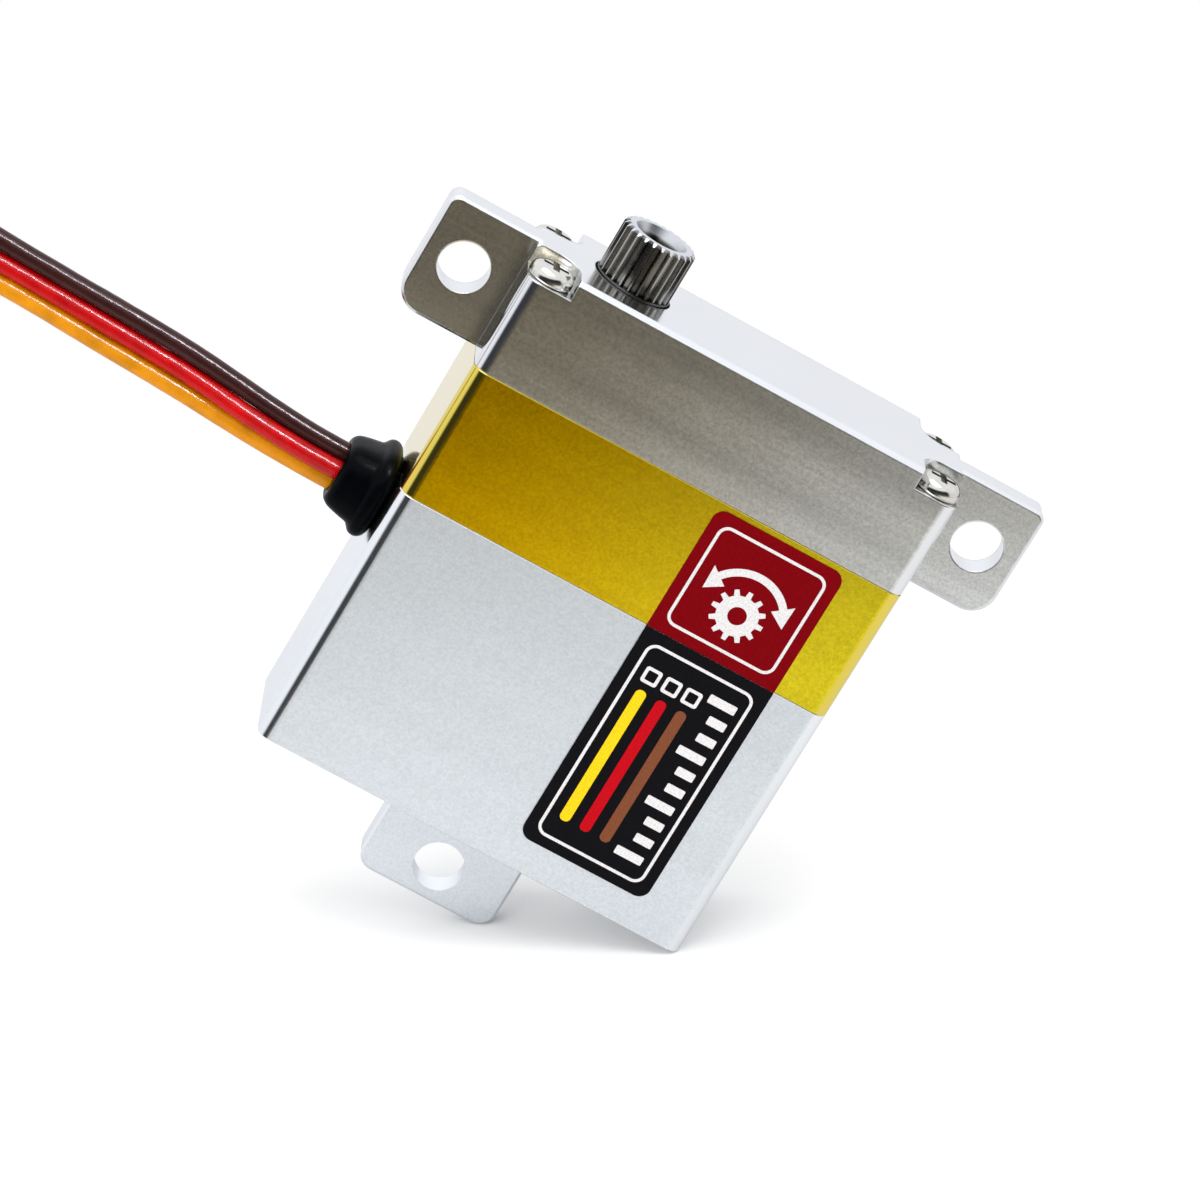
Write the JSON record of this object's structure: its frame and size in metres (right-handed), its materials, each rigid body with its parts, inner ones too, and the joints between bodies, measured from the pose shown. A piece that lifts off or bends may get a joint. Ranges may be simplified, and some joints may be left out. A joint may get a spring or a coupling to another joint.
{
  "type": "servo motor",
  "caption": "Thin metal-cased wing servo with a splined output shaft, two upper mounting ears, a lower ear and a three-wire lead.",
  "frame": {"origin": "on the output shaft's axis, in the plane of the case's top face", "axes": "+Z out along the output shaft, +X towards the motor end of the case, Y through the case's thickness"},
  "size_m": [0.0884, 0.0101, 0.045],
  "materials": {
    "silver_alloy": "satin",
    "gold_anodised": "satin",
    "blasted_alloy": "matte",
    "nickel_screw": "gloss",
    "dark_steel": "gloss",
    "gear_steel": "satin",
    "gear_brass": "satin",
    "bearing_steel": "polished",
    "bearing_cage": "matte",
    "motor_shell": "satin",
    "magnet": "satin",
    "copper_winding": "satin",
    "black_plastic": "matte",
    "sensor_track": "satin",
    "contact_metal": "gloss",
    "board_green": "gloss",
    "chip_black": "matte",
    "capacitor": "gloss",
    "lead_insulation": "satin",
    "black_rubber": "satin",
    "brown_insulation": "satin",
    "red_insulation": "satin",
    "orange_insulation": "satin",
    "red_label": "satin",
    "black_label": "satin"
  },
  "bodies": {
    "case": {"top_case": "silver_alloy", "middle_case": "gold_anodised", "lower_case": "blasted_alloy", "case_screws": "nickel_screw", "upper_bearing_outer_ring": "bearing_steel", "lower_bearing_outer_ring": "bearing_steel", "gear_pin_b": "bearing_steel", "gear_pin_c": "bearing_steel", "motor_can": "motor_shell", "motor_magnet": "magnet", "motor_bushes": "gear_brass", "motor_end_cap": "black_plastic", "motor_brushes": "contact_metal", "motor_leads": "lead_insulation", "sensor_body": "black_plastic", "sensor_track": "sensor_track", "sensor_pins": "contact_metal", "circuit_board": "board_green", "board_chips": "chip_black", "board_capacitor": "capacitor", "cable_grommet": "black_rubber", "wire_brown": "brown_insulation", "wire_red": "red_insulation", "wire_orange": "orange_insulation", "plug_housing": "black_plastic", "plug_contacts": "contact_metal", "upper_label": "red_label", "lower_label": "black_label"},
    "output": {"output_shaft": "dark_steel", "output_gear": "gear_steel", "upper_bearing_inner_ring": "bearing_steel", "lower_bearing_inner_ring": "bearing_steel", "sensor_wiper": "contact_metal"},
    "upper_bearing_set": {"upper_bearing_balls": "bearing_steel", "upper_bearing_cage": "bearing_cage"},
    "lower_bearing_set": {"lower_bearing_balls": "bearing_steel", "lower_bearing_cage": "bearing_cage"},
    "stage_4": {"gear_stage_4": "gear_steel"},
    "stage_3": {"gear_stage_3": "gear_steel"},
    "stage_2": {"gear_stage_2": "gear_steel"},
    "stage_1": {"gear_stage_1": "gear_brass"},
    "rotor": {"motor_rotor": "bearing_steel", "motor_winding": "copper_winding", "motor_pinion": "gear_brass"}
  },
  "joints": [
    {"name": "rotor_spin", "type": "hinge", "parent": "case", "child": "rotor", "pos_m": [0.01545, 0, -0.01], "axis": [0, 0, 1], "range_deg": [-10288.69, 10288.69]},
    {"name": "output_turn", "type": "hinge", "parent": "case", "child": "output", "pos_m": [0, 0, -0.01], "axis": [0, 0, 1], "range_deg": [-60, 60]},
    {"name": "upper_bearing_roll", "type": "hinge", "parent": "case", "child": "upper_bearing_set", "pos_m": [0, 0, -0.01], "axis": [0, 0, 1], "range_deg": [-26.4, 26.4]},
    {"name": "lower_bearing_roll", "type": "hinge", "parent": "case", "child": "lower_bearing_set", "pos_m": [0, 0, -0.01], "axis": [0, 0, 1], "range_deg": [-23.31, 23.31]},
    {"name": "stage_4_turn", "type": "hinge", "parent": "case", "child": "stage_4", "pos_m": [0.0054, 0, -0.01], "axis": [0, 0, 1], "range_deg": [-136.36, 136.36]},
    {"name": "stage_3_turn", "type": "hinge", "parent": "case", "child": "stage_3", "pos_m": [0.01065, 0, -0.01], "axis": [0, 0, 1], "range_deg": [-340.91, 340.91]},
    {"name": "stage_2_turn", "type": "hinge", "parent": "case", "child": "stage_2", "pos_m": [0.0054, 0, -0.01], "axis": [0, 0, 1], "range_deg": [-960.74, 960.74]},
    {"name": "stage_1_turn", "type": "hinge", "parent": "case", "child": "stage_1", "pos_m": [0.01065, 0, -0.01], "axis": [0, 0, 1], "range_deg": [-2707.55, 2707.55]}
  ],
  "couplings": [
    {"joint": "output_turn", "follows": "rotor_spin", "ratio": -0.0058316},
    {"joint": "upper_bearing_roll", "follows": "rotor_spin", "ratio": -0.0025659},
    {"joint": "lower_bearing_roll", "follows": "rotor_spin", "ratio": -0.002266},
    {"joint": "stage_4_turn", "follows": "rotor_spin", "ratio": 0.013254},
    {"joint": "stage_3_turn", "follows": "rotor_spin", "ratio": -0.033134},
    {"joint": "stage_2_turn", "follows": "rotor_spin", "ratio": 0.093379},
    {"joint": "stage_1_turn", "follows": "rotor_spin", "ratio": -0.26316}
  ]
}
